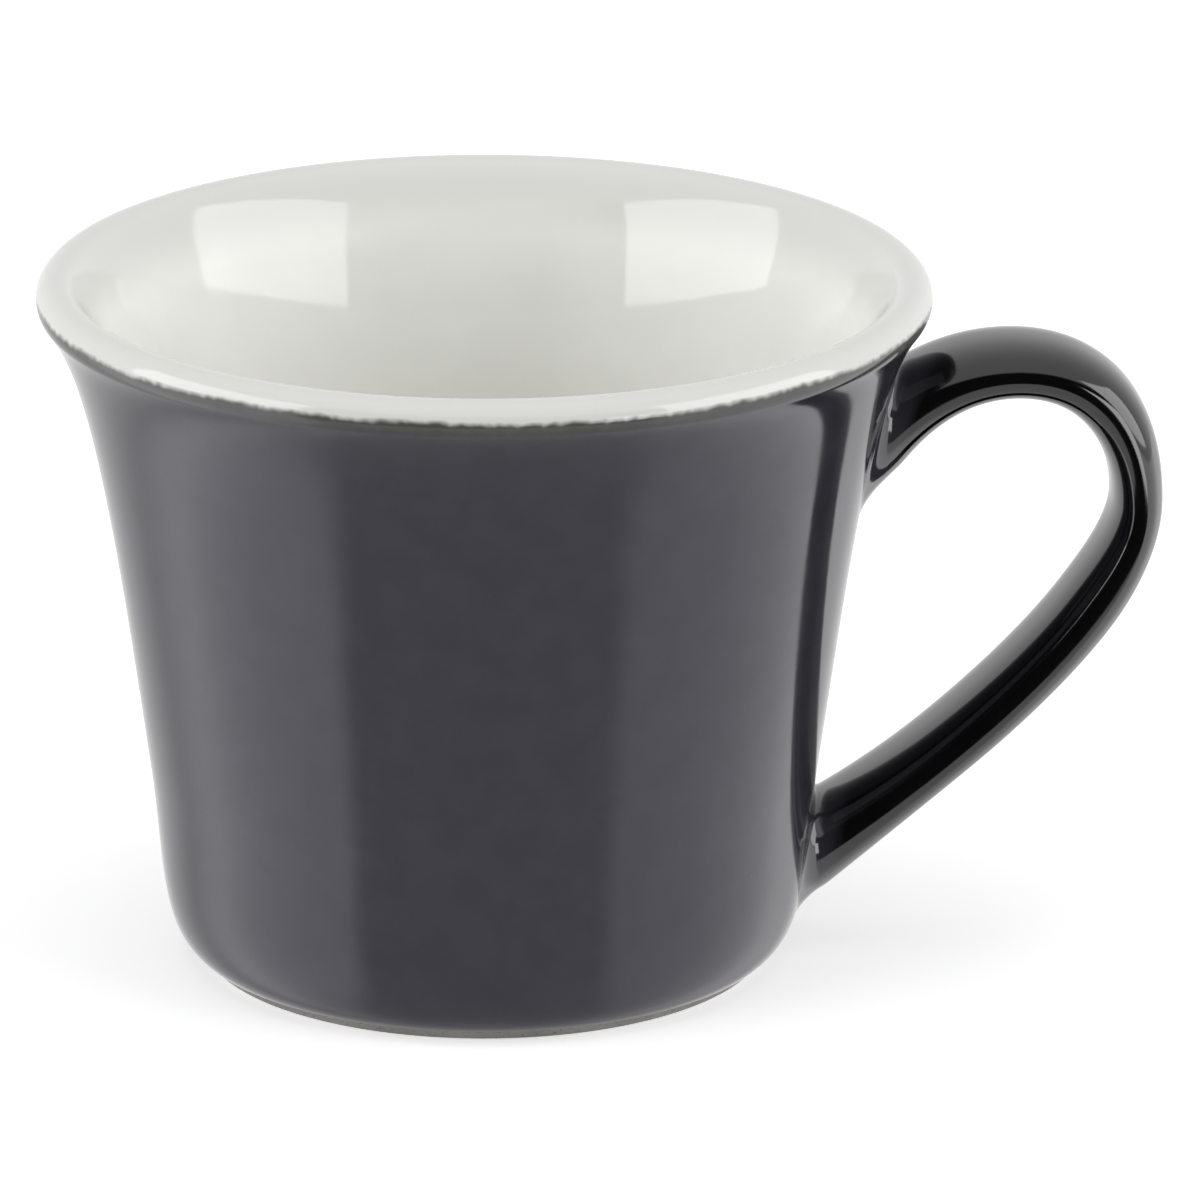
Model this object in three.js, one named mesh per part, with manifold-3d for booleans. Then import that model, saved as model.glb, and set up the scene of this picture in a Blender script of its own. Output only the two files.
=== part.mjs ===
// Espresso cup: a glazed stoneware cup with a flared rim and an ear-shaped handle.
// Millimetres, +Z up. The cup stands on z = 0 and its handle points along +X.
// The clay pieces are cast and stuck together with slip, and the glazes are thin coats on them.

import * as THREE from 'three';
import { mergeVertices } from 'three/addons/utils/BufferGeometryUtils.js';
import Module from 'manifold-3d';

const { degToRad } = THREE.MathUtils;

// Cup, measured on the finished glazed surface
const RIM_RADIUS = 35; // widest circle of the lip
const CUP_HEIGHT = 55.4; // top of the lip above the table
const LIP_ROUND = 1.65; // radius of the rounded lip
const LIP_LEAN = degToRad(39); // lean of the flared wall where it runs into the lip
const FLARE_PULL = 6.4; // how far the lip's lean is felt down the wall
const WAIST_RADIUS = 26.4; // outside radius where the heel's curve runs out
const WAIST_HEIGHT = 15.5;
const WAIST_LEAN = degToRad(8); // taper of the wall at the waist
const WAIST_PULL = 18; // how far the waist's taper is felt up the wall
const HEEL_RADIUS = 23.2; // lower edge of the outer glaze, just above the foot ring
const HEEL_HEIGHT = 0.9;
const HEEL_LEAN = degToRad(54); // lean of the wall where it springs from the foot ring
const HEEL_PULL = 3.2;
const HEEL_RUN_OUT = 7.5; // how far the waist's taper is felt down the heel
const WALL = 3.5; // thickness at the waist
const FLOOR = 4; // thickness of the cup's floor above the recess
const INNER_CORNER = 9.5; // width of the rounded corner between wall and floor, inside

// Foot ring, with a recess inside it
const FOOT_RADIUS = 22.5;
const FOOT_WIDTH = 3;
const FOOT_BEVEL = 0.3;
const RECESS_DEPTH = 1.4;
const RECESS_ROUND = 0.9;

// Glaze coats
const GLAZE = 0.35; // thickness
const GLAZE_LINE = degToRad(12); // where white meets grey, up round the lip from its widest circle

// Handle, an ear in the plane y = 0, measured on the finished glazed surface
const HANDLE_WIDTH = 10.4; // across the ear's plane
const HANDLE_THICK = 4.7; // in the ear's plane
const HANDLE_THIN = 4; // in the ear's plane, round the outer bend
const THIN_SPAN = 10; // length of path over which the bend's thickness eases back to the full one
const ROOT_THICK = 6.4; // in the ear's plane, where the ear meets the wall
const ROOT_SPAN = 14; // length of path over which a root's thickness eases back to the full one
const SECTION_POWER = 2.4; // 2 is an ellipse, larger is squarer
const UPPER_SEAT_DROP = 13.2; // below the top of the lip, where the path leaves the wall
const UPPER_SEAT_ANGLE = degToRad(45); // above the horizontal
const UPPER_SEAT_PULL = 4.3;
const CREST_OUT = 10.9; // from the upper seat
const CREST_RISE = 5.2;
const CREST_PULL_IN = 4.4;
const CREST_PULL_OUT = 6.5;
const BEND_OUT = 20.8; // from the upper seat
const BEND_DROP = 5.8;
const BEND_PULL_UP = 6.2;
const BEND_PULL_DOWN = 7.5;
const LOWER_SEAT_HEIGHT = 7.8; // above the table, where the path runs back into the wall
const LOWER_SEAT_ANGLE = degToRad(34); // above the horizontal
const LOWER_SEAT_PULL = 16.4;
const SEAT_RUN = 10; // straight length of path inside the wall at each end
const JOINT_FILLET = 1.3; // radius of the slip's fillet round each end

// Fits and facets
const SEAT_GAP = 0.3; // clearance between pieces that are shaped to one another
const EAR_END = SEAT_GAP + JOINT_FILLET + SEAT_GAP; // height of the clay ear's ends over the clay wall
const ROUND_STEPS = 48; // facets round the cup
const SECTION_STEPS = 16; // facets round the handle
const HANDLE_STEPS = 24; // facets along the handle
const FILLET_STEPS = 4;
const HALVINGS = 40; // of the search for where the ear's surface crosses the wall

// A revolved piece's profile point: radius and height
const at = (radius, height) => new THREE.Vector2(radius, height);

// Unit vector that leans outwards from the upright
const leaning = (lean) => at(Math.sin(lean), Math.cos(lean));

const moved = (point, direction, length) => point.clone().addScaledVector(direction, length);

// The clay side of the glaze lies one coat to the left of each curve's direction of travel,
// so every curve below runs with the open air on its right.
function trace(spans) {
  const skin = [];
  const clay = [];
  spans.forEach(([curve, steps], index) => {
    for (let step = index === 0 ? 0 : 1; step <= steps; step += 1) {
      const point = curve.getPoint(step / steps);
      const along = curve.getTangent(step / steps);
      skin.push(point);
      clay.push(at(point.x - GLAZE * along.y, point.y + GLAZE * along.x));
    }
  });
  return { skin, clay };
}

// Wall from the heel up the outside, over the lip, down the inside and along the floor to the axis;
// each curve is listed with the number of facets it takes
function traceShell() {
  const heelStart = at(HEEL_RADIUS, HEEL_HEIGHT);
  const waist = at(WAIST_RADIUS, WAIST_HEIGHT);
  const waistRise = leaning(WAIST_LEAN);
  const lipRise = leaning(LIP_LEAN);
  const lipCentre = at(RIM_RADIUS - LIP_ROUND, CUP_HEIGHT - LIP_ROUND);
  const lipPoint = (angle) => moved(lipCentre, at(Math.cos(angle), Math.sin(angle)), LIP_ROUND);
  const lipArc = (from, to) => new THREE.EllipseCurve(
    lipCentre.x, lipCentre.y, LIP_ROUND, LIP_ROUND, from, to,
  );

  const heel = new THREE.CubicBezierCurve(
    heelStart,
    moved(heelStart, leaning(HEEL_LEAN), HEEL_PULL),
    moved(waist, waistRise, -HEEL_RUN_OUT),
    waist,
  );
  const flareEnd = lipPoint(-LIP_LEAN);
  const flare = new THREE.CubicBezierCurve(
    waist,
    moved(waist, waistRise, WAIST_PULL),
    moved(flareEnd, lipRise, -FLARE_PULL),
    flareEnd,
  );

  const innerTop = lipPoint(Math.PI - LIP_LEAN);
  const innerWaist = at(WAIST_RADIUS - WALL, WAIST_HEIGHT);
  const innerWall = new THREE.CubicBezierCurve(
    innerTop,
    moved(innerTop, lipRise, -FLARE_PULL),
    moved(innerWaist, waistRise, WAIST_PULL),
    innerWaist,
  );
  const floorHeight = RECESS_DEPTH + FLOOR;
  const floorEdge = at(innerWaist.x - INNER_CORNER, floorHeight);
  const quarterRound = 0.5523; // pull of a Bezier curve that follows a quarter circle
  const innerCorner = new THREE.CubicBezierCurve(
    innerWaist,
    moved(innerWaist, waistRise, -quarterRound * (WAIST_HEIGHT - floorHeight)),
    moved(floorEdge, at(1, 0), quarterRound * INNER_CORNER),
    floorEdge,
  );
  const floor = new THREE.LineCurve(floorEdge, at(0, floorHeight));

  const top = Math.PI / 2;
  const outside = [[heel, 5], [flare, 6], [lipArc(-LIP_LEAN, 0), 2], [lipArc(0, GLAZE_LINE), 1]];
  const inside = [
    [lipArc(GLAZE_LINE, top), 3],
    [lipArc(top, Math.PI - LIP_LEAN), 2],
    [innerWall, 5],
    [innerCorner, 4],
    [floor, 1],
  ];
  const glazeLine = outside.reduce((sum, [, steps]) => sum + steps, 0);
  const { skin, clay } = trace([...outside, ...inside]);
  return {
    outside: { skin: skin.slice(0, glazeLine + 1), clay: clay.slice(0, glazeLine + 1) },
    inside: { skin: skin.slice(glazeLine), clay: clay.slice(glazeLine) },
  };
}

// Recess from the axis along its ceiling and down the inside of the foot ring
function traceRecess() {
  const inner = FOOT_RADIUS - FOOT_WIDTH;
  const cornerRadius = inner - RECESS_ROUND;
  const ceiling = new THREE.LineCurve(at(0, RECESS_DEPTH), at(cornerRadius, RECESS_DEPTH));
  const corner = new THREE.EllipseCurve(
    cornerRadius, RECESS_DEPTH - RECESS_ROUND, RECESS_ROUND, RECESS_ROUND, Math.PI / 2, 0, true,
  );
  return trace([[ceiling, 1], [corner, 3]]);
}

const shell = traceShell();
const recess = traceRecess();

// Turns a profile about the cup's axis
function revolve(profile) {
  const geometry = new THREE.LatheGeometry(profile, ROUND_STEPS);
  return geometry.rotateX(Math.PI / 2);
}

// Radius of the clay wall's outside at a height
function clayRadius(height) {
  const profile = shell.outside.clay;
  let above = profile.findIndex((point) => point.y >= height);
  if (above === -1) above = profile.length - 1;
  above = Math.max(above, 1);
  const low = profile[above - 1];
  const high = profile[above];
  const share = THREE.MathUtils.clamp((height - low.y) / (high.y - low.y), 0, 1);
  return THREE.MathUtils.lerp(low.x, high.x, share);
}

// Path of the ear: straight inside the wall, up to the crest, round the bend and down to the lower seat
function tracePath() {
  const place = (radius, height) => new THREE.Vector3(radius, 0, height);
  const slope = (angle) => place(Math.cos(angle), Math.sin(angle));
  const out = place(1, 0);
  const up = place(0, 1);
  const upperSeatHeight = CUP_HEIGHT - UPPER_SEAT_DROP;
  const upperSeat = place(clayRadius(upperSeatHeight) + GLAZE, upperSeatHeight);
  const lowerSeat = place(clayRadius(LOWER_SEAT_HEIGHT) + GLAZE, LOWER_SEAT_HEIGHT);
  const crest = place(upperSeat.x + CREST_OUT, upperSeatHeight + CREST_RISE);
  const bend = place(upperSeat.x + BEND_OUT, upperSeatHeight - BEND_DROP);
  const upperSlope = slope(UPPER_SEAT_ANGLE);
  const lowerSlope = slope(LOWER_SEAT_ANGLE);

  const path = new THREE.CurvePath();
  path.add(new THREE.LineCurve3(moved(upperSeat, upperSlope, -SEAT_RUN), upperSeat));
  path.add(new THREE.CubicBezierCurve3(
    upperSeat, moved(upperSeat, upperSlope, UPPER_SEAT_PULL), moved(crest, out, -CREST_PULL_IN), crest,
  ));
  path.add(new THREE.CubicBezierCurve3(
    crest, moved(crest, out, CREST_PULL_OUT), moved(bend, up, BEND_PULL_UP), bend,
  ));
  path.add(new THREE.CubicBezierCurve3(
    bend, moved(bend, up, -BEND_PULL_DOWN), moved(lowerSeat, lowerSlope, LOWER_SEAT_PULL), lowerSeat,
  ));
  path.add(new THREE.LineCurve3(lowerSeat, moved(lowerSeat, lowerSlope, -SEAT_RUN)));
  return path;
}

const path = tracePath();
const pathLength = path.getLength();
const bendShare = path.getCurveLengths()[2] / pathLength;

// Thickness of the finished handle at a share of the path
function handleThickness(share) {
  const fromBend = Math.abs(share - bendShare) * pathLength;
  const fromSeat = Math.min(share, 1 - share) * pathLength - SEAT_RUN;
  const thinning = 0.5 + 0.5 * Math.cos(Math.PI * Math.min(fromBend / THIN_SPAN, 1));
  const rooting = 1 - THREE.MathUtils.clamp(fromSeat / ROOT_SPAN, 0, 1);
  const thinner = thinning * (HANDLE_THICK - HANDLE_THIN);
  const thicker = rooting ** 2 * (ROOT_THICK - HANDLE_THICK);
  return HANDLE_THICK - thinner + thicker;
}

// Point on the handle's surface, lowered by an inset: share runs along the path, turn round the section
function handlePoint(share, turn, inset) {
  const rounded = (value) => Math.sign(value) * Math.abs(value) ** (2 / SECTION_POWER);
  const along = path.getTangent(share);
  const outward = new THREE.Vector3(-along.z, 0, along.x);
  const across = new THREE.Vector3(0, 1, 0);
  return path.getPoint(share)
    .addScaledVector(outward, (handleThickness(share) / 2 - inset) * rounded(Math.cos(turn)))
    .addScaledVector(across, (HANDLE_WIDTH / 2 - inset) * rounded(Math.sin(turn)));
}

const turns = Array.from({ length: SECTION_STEPS }, (_, index) => index / SECTION_STEPS * 2 * Math.PI);

// Share of the path where the handle's surface crosses a height over the clay wall, at one end
function crossing(end, turn, inset, height) {
  let inside = end === 'upper' ? 0 : 1;
  let outside = bendShare;
  for (let halving = 0; halving < HALVINGS; halving += 1) {
    const middle = (inside + outside) / 2;
    const point = handlePoint(middle, turn, inset);
    const over = Math.hypot(point.x, point.y) - clayRadius(point.z);
    if (over > height) outside = middle;
    else inside = middle;
  }
  return outside;
}

// Outline of the handle's end laid on the wall: a ring at a height over the clay, spread outwards along it
function seatRing(end, inset, height, spread) {
  const flat = turns.map((turn) => {
    const point = handlePoint(crossing(end, turn, inset, height), turn, inset);
    const radius = clayRadius(point.z) + height;
    return at(radius * Math.atan2(point.y, point.x), point.z);
  });
  const centre = flat.reduce((sum, point) => sum.add(point), at(0, 0)).divideScalar(flat.length);
  return flat.map((point, index) => {
    const before = flat.at(index - 1);
    const after = flat[(index + 1) % flat.length];
    const normal = at(after.y - before.y, before.x - after.x).normalize();
    if (normal.dot(point.clone().sub(centre)) < 0) normal.negate();
    return onWall(moved(point, normal, spread), height);
  });
}

// Point at a height over the clay, from its distance round the wall and its height above the table
function onWall(flat, height) {
  const radius = clayRadius(flat.y) + height;
  const angle = flat.x / radius;
  return new THREE.Vector3(radius * Math.cos(angle), radius * Math.sin(angle), flat.y);
}

// Rings of one end's fillet, in order along the path: level is the height of its foot over the clay
function filletRings(end, inset, level) {
  const rings = [];
  for (let step = 0; step <= FILLET_STEPS; step += 1) {
    const lean = step / FILLET_STEPS * Math.PI / 2;
    const rise = JOINT_FILLET * (1 - Math.cos(lean));
    const spread = JOINT_FILLET * (1 - Math.sin(lean));
    rings.push(seatRing(end, inset, level + rise, spread));
  }
  return end === 'upper' ? rings : rings.reverse();
}

// Rings of the handle, mitred to the wall at both ends at one height over the clay
function handleRings(inset, height) {
  const ends = turns.map((turn) => [
    crossing('upper', turn, inset, height),
    crossing('lower', turn, inset, height),
  ]);
  return Array.from({ length: HANDLE_STEPS + 1 }, (_, step) => turns.map((turn, index) => {
    const [from, to] = ends[index];
    return handlePoint(THREE.MathUtils.lerp(from, to, step / HANDLE_STEPS), turn, inset);
  }));
}

// Ring that lies at one height over the clay wall, drawn in along the wall towards its middle
function drawnIn(ring, share) {
  const radius = (point) => Math.hypot(point.x, point.y);
  const height = radius(ring[0]) - clayRadius(ring[0].z);
  const middle = ring.reduce((sum, point) => sum + point.z, 0) / ring.length;
  return ring.map((point) => onWall(at(
    share * radius(point) * Math.atan2(point.y, point.x),
    THREE.MathUtils.lerp(middle, point.z, share),
  ), height));
}

// Quads between two rings, each named by its first point's number; inward turns them inside out
function band(from, to, inward = false) {
  return turns.flatMap((_, index) => {
    const beside = (index + 1) % SECTION_STEPS;
    const corners = [from + index, to + index, from + beside, to + index, to + beside, from + beside];
    return inward ? corners.reverse() : corners;
  });
}

// Bands along a run of rings whose first ring starts at a given point number
function bands(rings, first, inward = false) {
  return rings.slice(1).flatMap((_, row) => {
    const from = first + row * SECTION_STEPS;
    return band(from, from + SECTION_STEPS, inward);
  });
}

function meshOf(points, triangles) {
  const geometry = new THREE.BufferGeometry().setFromPoints(points);
  geometry.setIndex(triangles);
  geometry.computeVertexNormals();
  return geometry;
}

// Solid over a run of rings; each end is closed along the wall by a narrower ring and a fan about its middle
function loft(run) {
  const [first, last] = [run[0], run.at(-1)];
  const rings = [drawnIn(first, 0.5), ...run, drawnIn(last, 0.5)];
  const points = [...rings.flat(), drawnIn(first, 0)[0], drawnIn(last, 0)[0]];
  const finish = points.length - 1;
  const start = finish - 1;
  const lastRing = start - SECTION_STEPS;
  const triangles = bands(rings, 0);
  turns.forEach((_, index) => {
    const beside = (index + 1) % SECTION_STEPS;
    triangles.push(start, index, beside);
    triangles.push(finish, lastRing + beside, lastRing + index);
  });
  return meshOf(points, triangles);
}

// Hollow sleeve between an outer and an inner run of rings
function sleeve(outer, inner) {
  const firstInner = outer.length * SECTION_STEPS;
  const lastOuter = firstInner - SECTION_STEPS;
  const lastInner = lastOuter + inner.length * SECTION_STEPS;
  return meshOf([...outer.flat(), ...inner.flat()], [
    ...bands(outer, 0),
    ...bands(inner, firstInner, true),
    ...band(firstInner, 0),
    ...band(lastOuter, lastInner),
  ]);
}

const wasm = await Module();
wasm.setup();

function toSolid(geometry) {
  const bare = geometry.clone();
  bare.deleteAttribute('normal');
  bare.deleteAttribute('uv');
  const merged = mergeVertices(bare);
  return new wasm.Manifold(new wasm.Mesh({
    numProp: 3,
    vertProperties: new Float32Array(merged.attributes.position.array),
    triVerts: new Uint32Array(merged.index.array),
  }));
}

function toGeometry(solid) {
  const mesh = solid.getMesh();
  const geometry = new THREE.BufferGeometry();
  geometry.setAttribute('position', new THREE.BufferAttribute(new Float32Array(mesh.vertProperties), 3));
  geometry.setIndex(Array.from(mesh.triVerts));
  geometry.computeVertexNormals();
  return geometry;
}

// Clay cup: recess, foot ring with a bare standing face, wall, lip and floor
function cupBody() {
  const footInner = recess.clay.at(-1);
  const foot = [
    at(footInner.x + FOOT_BEVEL, 0),
    at(FOOT_RADIUS - FOOT_BEVEL, 0),
    at(FOOT_RADIUS, FOOT_BEVEL),
  ];
  return revolve([...recess.clay, ...foot, ...shell.outside.clay, ...shell.inside.clay.slice(1)]);
}

// White coat from the lip's glaze line down the inside and over the floor
function linerGlaze() {
  return revolve([...shell.inside.clay.toReversed(), ...shell.inside.skin]);
}

// Coat on the recess inside the foot ring
function baseGlaze() {
  return revolve([...recess.skin, ...recess.clay.toReversed()]);
}

// Grey coat on the outside wall, left open where the handle's coat runs in
function outerGlaze() {
  const { skin, clay } = shell.outside;
  let coat = toSolid(revolve([...skin, ...clay.toReversed(), skin[0]]));
  for (const end of ['upper', 'lower']) {
    const spread = JOINT_FILLET + SEAT_GAP;
    const rings = [seatRing(end, 0, -JOINT_FILLET, spread), seatRing(end, 0, JOINT_FILLET, spread)];
    coat = coat.subtract(toSolid(loft(end === 'upper' ? rings : rings.reverse())));
  }
  return toGeometry(coat);
}

// Clay ear, mitred to the wall at both ends with room for the slip
function handle() {
  return loft(handleRings(GLAZE, EAR_END));
}

// Slip between one end of the ear and the wall, squeezed out into a fillet
function slipJoint(end) {
  return loft(filletRings(end, GLAZE, SEAT_GAP));
}

// Coat over the ear and both slip joints, in one sleeve
function handleGlaze() {
  const inner = [
    ...filletRings('upper', GLAZE, SEAT_GAP),
    ...handleRings(GLAZE, EAR_END),
    ...filletRings('lower', GLAZE, SEAT_GAP),
  ];
  const outer = [
    seatRing('upper', 0, SEAT_GAP, JOINT_FILLET),
    ...filletRings('upper', 0, SEAT_GAP + GLAZE).slice(1),
    ...handleRings(0, EAR_END + GLAZE),
    ...filletRings('lower', 0, SEAT_GAP + GLAZE).slice(0, -1),
    seatRing('lower', 0, SEAT_GAP, JOINT_FILLET),
  ];
  return sleeve(outer, inner);
}

const bareClay = { color: 0xa29f9b, roughness: 0.85, metalness: 0 };
const whiteGlaze = { color: 0xe9e9e5, roughness: 0.12, metalness: 0 };
const greyGlaze = { color: 0x3e3d43, roughness: 0.12, metalness: 0 };
const blackGlaze = { color: 0x131315, roughness: 0.1, metalness: 0 };

function piece(name, geometry, finish) {
  const mesh = new THREE.Mesh(geometry, new THREE.MeshStandardMaterial(finish));
  mesh.name = name;
  return mesh;
}

const cup = new THREE.Group();
cup.add(
  piece('cup_body', cupBody(), bareClay),
  piece('handle', handle(), bareClay),
  piece('upper_slip_joint', slipJoint('upper'), bareClay),
  piece('lower_slip_joint', slipJoint('lower'), bareClay),
  piece('liner_glaze', linerGlaze(), whiteGlaze),
  piece('outer_glaze', outerGlaze(), greyGlaze),
  piece('handle_glaze', handleGlaze(), blackGlaze),
  piece('base_glaze', baseGlaze(), whiteGlaze),
);

// The origin is at the middle of the cup's footprint, so the axis stands a little to its left
cup.position.x = -new THREE.Box3().setFromObject(cup).getCenter(new THREE.Vector3()).x;

export default cup;
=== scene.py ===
"""A glazed espresso cup with a flared rim and an ear handle, built coat by coat around its CAD solids.

Everything is in metres, in the frame of the solids: +Z up, the handle towards +X, the foot on z = 0.
"""

import math
from bisect import bisect_left

import bmesh
import bpy
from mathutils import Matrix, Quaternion, Vector, noise


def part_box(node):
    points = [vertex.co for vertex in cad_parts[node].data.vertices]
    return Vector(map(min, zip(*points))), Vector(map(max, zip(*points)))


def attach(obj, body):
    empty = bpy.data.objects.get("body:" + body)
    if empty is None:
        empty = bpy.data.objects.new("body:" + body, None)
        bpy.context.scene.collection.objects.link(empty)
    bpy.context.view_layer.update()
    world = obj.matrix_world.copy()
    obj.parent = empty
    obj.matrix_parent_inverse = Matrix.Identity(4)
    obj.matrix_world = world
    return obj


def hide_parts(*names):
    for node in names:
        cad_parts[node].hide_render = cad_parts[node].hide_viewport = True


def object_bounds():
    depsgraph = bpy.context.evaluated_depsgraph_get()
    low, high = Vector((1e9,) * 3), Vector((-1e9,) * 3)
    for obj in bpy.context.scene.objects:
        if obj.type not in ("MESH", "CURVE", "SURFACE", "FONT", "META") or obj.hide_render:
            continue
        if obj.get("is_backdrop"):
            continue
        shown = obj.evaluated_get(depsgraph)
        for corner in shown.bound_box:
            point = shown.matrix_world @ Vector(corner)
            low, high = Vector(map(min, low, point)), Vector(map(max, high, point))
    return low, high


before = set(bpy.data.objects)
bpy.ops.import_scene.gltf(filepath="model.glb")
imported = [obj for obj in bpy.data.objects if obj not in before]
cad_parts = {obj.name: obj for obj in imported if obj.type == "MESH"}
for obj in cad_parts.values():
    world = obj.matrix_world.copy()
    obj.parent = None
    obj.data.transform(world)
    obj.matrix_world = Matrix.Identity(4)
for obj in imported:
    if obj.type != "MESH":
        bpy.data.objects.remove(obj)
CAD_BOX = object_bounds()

bl_info = {
    "name": "Glazed Espresso Cup",
    "version": (1, 0, 0),
    "blender": (4, 5, 0),
    "location": "3D View > Sidebar > Espresso Cup",
    "description": "Builds a glazed espresso cup from its clay, its coats of glaze and a photo stage",
    "category": "Add Mesh",
}

MM = 0.001
BODY = "root"

# Overall sizes, measured on the solids
OUTER_LOW, OUTER_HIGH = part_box("outer_glaze")
LINER_LOW, LINER_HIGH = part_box("liner_glaze")
AXIS_X = (LINER_LOW.x + LINER_HIGH.x) / 2
RIM_RADIUS = (OUTER_HIGH.y - OUTER_LOW.y) / 2
CUP_HEIGHT = LINER_HIGH.z

# Curves of the wall
LIP_LEAN = math.radians(39)
FLARE_PULL = 6.4 * MM
WAIST_LEAN = math.radians(8)
WAIST_PULL = 18 * MM
HEEL_LEAN = math.radians(54)
HEEL_PULL = 3.2 * MM
HEEL_RUN_OUT = 7.5 * MM
INNER_CORNER = 9.5 * MM
QUARTER_ROUND = 0.5523  # pull of a Bezier curve that follows a quarter circle
FOOT_BEVEL = 0.3 * MM
RECESS_ROUND = 0.9 * MM

# Where white meets grey on the lip, up round it from its widest circle, and how far that line wanders
GLAZE_LINE = math.radians(15)
LINE_SWAY = math.radians(9)
SWAY_LOBES = 2.5
SWAY_SEED = 3.7
LINE_RIPPLE = math.radians(4)
RIPPLE_LOBES = 14
RIPPLE_SEED = 8.3
LIP_PAINTED_SHADE = 0.81  # painted shade: what is left of the white's brightness over the lip, darkened against the light that falls on it from above
# distance from the lip's round over which its painted shade fades out
LIP_SPAN = 4 * MM

# How white breaks to olive and olive to slate, by distance below the glaze line
RAGGED_SIZE = 0.9 * MM
RAGGED_DEPTH = 0.45 * MM
WHITE_BREAK = (-0.3 * MM, 0.25 * MM)
OLIVE_BREAK = (0, 1.7 * MM)

# Looks of the glazes: shades are factors on a colour, gloss is the roughness from shiny to less so
CLOUD_VALUES = (0.3, 0.7)  # where a cloudy texture has most of its values
GLOSS_CLOUD = 7 * MM
PEEL_SIZE = 2.2 * MM
PEEL_DEPTH = 0.004 * MM
PINHOLE_GAP = 5 * MM
PINHOLE_WIDTH = 0.02  # as a share of the gap
PINHOLE_DEPTH = 0.02 * MM
WHITE_IOR = 1.5
WHITE_CLOUD = 9 * MM
WHITE_SHADES = (0.975, 1.02)
WHITE_GLOSS = (0.05, 0.09)
SLATE_IOR = 1.42
SLATE_SHEEN = (0.89, 0.865, 1, 1)
SLATE_CLOUD = 3 * MM
SLATE_SHADES = (0.9, 1.1)
SLATE_GLOSS = (0.07, 0.11)
EAR_IOR = 1.65
EAR_SHADES = (0.8, 1.2)
EAR_GLOSS = (0.07, 0.11)

# Looks of the bare clay
CLAY_IOR = 1.45
CLAY_CLOUD = 4 * MM
CLAY_SHADES = (0.9, 1.08)
CLAY_ROUGHNESS = (0.75, 0.9)
CLAY_PATCH = 1 * MM  # over which the roughness varies
GRIT_SIZE = 0.25 * MM
GRIT_VALUES = (0.6, 0.68)
GRIT_SHADE = 0.55
CLAY_GRAIN = 0.3 * MM
CLAY_GRAIN_DEPTH = 0.02 * MM

# Unevenness of the cast wall
WALL_WANDER = 0.05 * MM
WANDER_SIZE = 16 * MM
WANDER_TOP = CUP_HEIGHT - 4 * MM

# Path of the ear
UPPER_SEAT_DROP = 13.2 * MM
UPPER_SEAT_ANGLE = math.radians(45)
UPPER_SEAT_PULL = 4.3 * MM
CREST_OUT = 10.9 * MM
CREST_RISE = 5.2 * MM
CREST_PULL_IN = 4.4 * MM
CREST_PULL_OUT = 6.5 * MM
BEND_OUT = 20.8 * MM
BEND_DROP = 5.8 * MM
BEND_PULL_UP = 6.2 * MM
BEND_PULL_DOWN = 7.5 * MM
LOWER_SEAT_HEIGHT = 7.8 * MM
LOWER_SEAT_ANGLE = math.radians(34)
LOWER_SEAT_PULL = 16.4 * MM
SEAT_RUN = 10 * MM
THIN_SPAN = 10 * MM
ROOT_SPAN = 14 * MM
SECTION_POWER = 2.4  # 2 is an ellipse, larger is squarer
SLIP_GAP = 0.3 * MM
FOOT_SINK = 0.01 * MM  # how far the foot of a fillet lies under the wall's glaze

# Mesh densities
CUP_STEPS = 240
HEEL_STEPS = 28
WALL_STEPS = 40
LIP_STEPS = 24
CORNER_STEPS = 14
FLOOR_STEPS = 6
EAR_TURNS = 64
EAR_STEPS = 150
FILLET_STEPS = 12
ROOT_STEPS = 4  # rings over which the slate of a fillet goes over to the black of the ear
PATH_STEPS = 200
BEND_SPAN = 3  # spans of the ear's path up to its bend
HALVINGS = 40
WELD_GAP = 0.0001 * MM
SHARP_ANGLE = math.radians(40)

# Camera, as the photo's outlines give it
CAMERA_TURN = math.radians(-4)
CAMERA_RISE = math.radians(18.21)
CAMERA_ROLL = math.radians(0.2)
CAMERA_DISTANCE = 900 * MM
CAMERA_AIM_SIDE = 9.1 * MM  # of the cup's axis, to the right
CAMERA_AIM_HEIGHT = 28.59 * MM
CAMERA_LENS = 342.9
CAMERA_NEAR = 10 * MM
SENSOR_WIDTH = 36

# Softboxes on both sides and above, with turns to the right of the camera
LOOK_AT = Vector((AXIS_X, 0, 30 * MM))
SIDE_TURN = math.radians(72)
SIDE_DISTANCE = 0.9
SIDE_HEIGHT = 0.36
SIDE_SIZE = (0.92, 0.64)
SIDE_POWER = 5.3
TOP_HEIGHT = 0.9
TOP_SIZE = (0.8, 0.8)
TOP_POWER = 2.2

# Floor and surroundings
FLOOR_HALF = 3
FLOOR_HEIGHT = -0.02 * MM  # so that it doesn't share a plane with the foot's face
FLOOR_COLOUR = (0.85, 0.85, 0.85, 1)
FLOOR_LIFT = 0.5  # light that the floor adds to the camera's view of it
SURROUND_LIGHT = 0.34

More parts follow.
